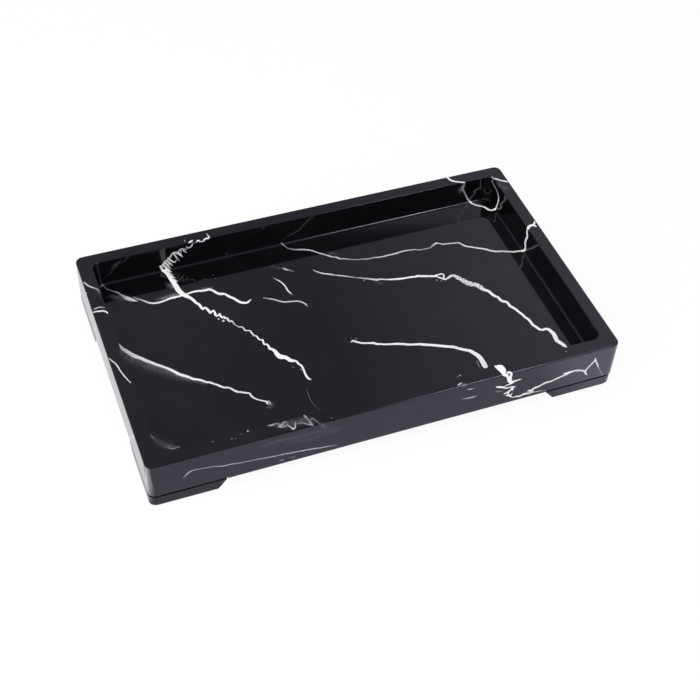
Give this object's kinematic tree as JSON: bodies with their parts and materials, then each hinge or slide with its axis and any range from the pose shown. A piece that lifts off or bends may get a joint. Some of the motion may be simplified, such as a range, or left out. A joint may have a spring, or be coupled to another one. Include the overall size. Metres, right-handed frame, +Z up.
{
  "type": "bathroom tray",
  "caption": "Rectangular cast tray with a sunken floor, a flat wide rim, bonded ramped corner feet and anti-slip pads.",
  "frame": {"origin": "on the ground under the middle of the tray", "axes": "+X along the long side, +Y from the front long side to the back, +Z up"},
  "size_m": [0.25, 0.15, 0.032],
  "materials": {
    "marble_resin": "polished black casting with thin white marble veins",
    "foot_resin": "satin black, no veins",
    "pad_rubber": "matt dark grey"
  },
  "bodies": {
    "root": {"tray_body": "marble_resin", "foot_front_left": "foot_resin", "foot_front_right": "foot_resin", "foot_rear_left": "foot_resin", "foot_rear_right": "foot_resin", "pad_front_left": "pad_rubber", "pad_front_right": "pad_rubber", "pad_rear_left": "pad_rubber", "pad_rear_right": "pad_rubber"}
  },
  "joints": []
}
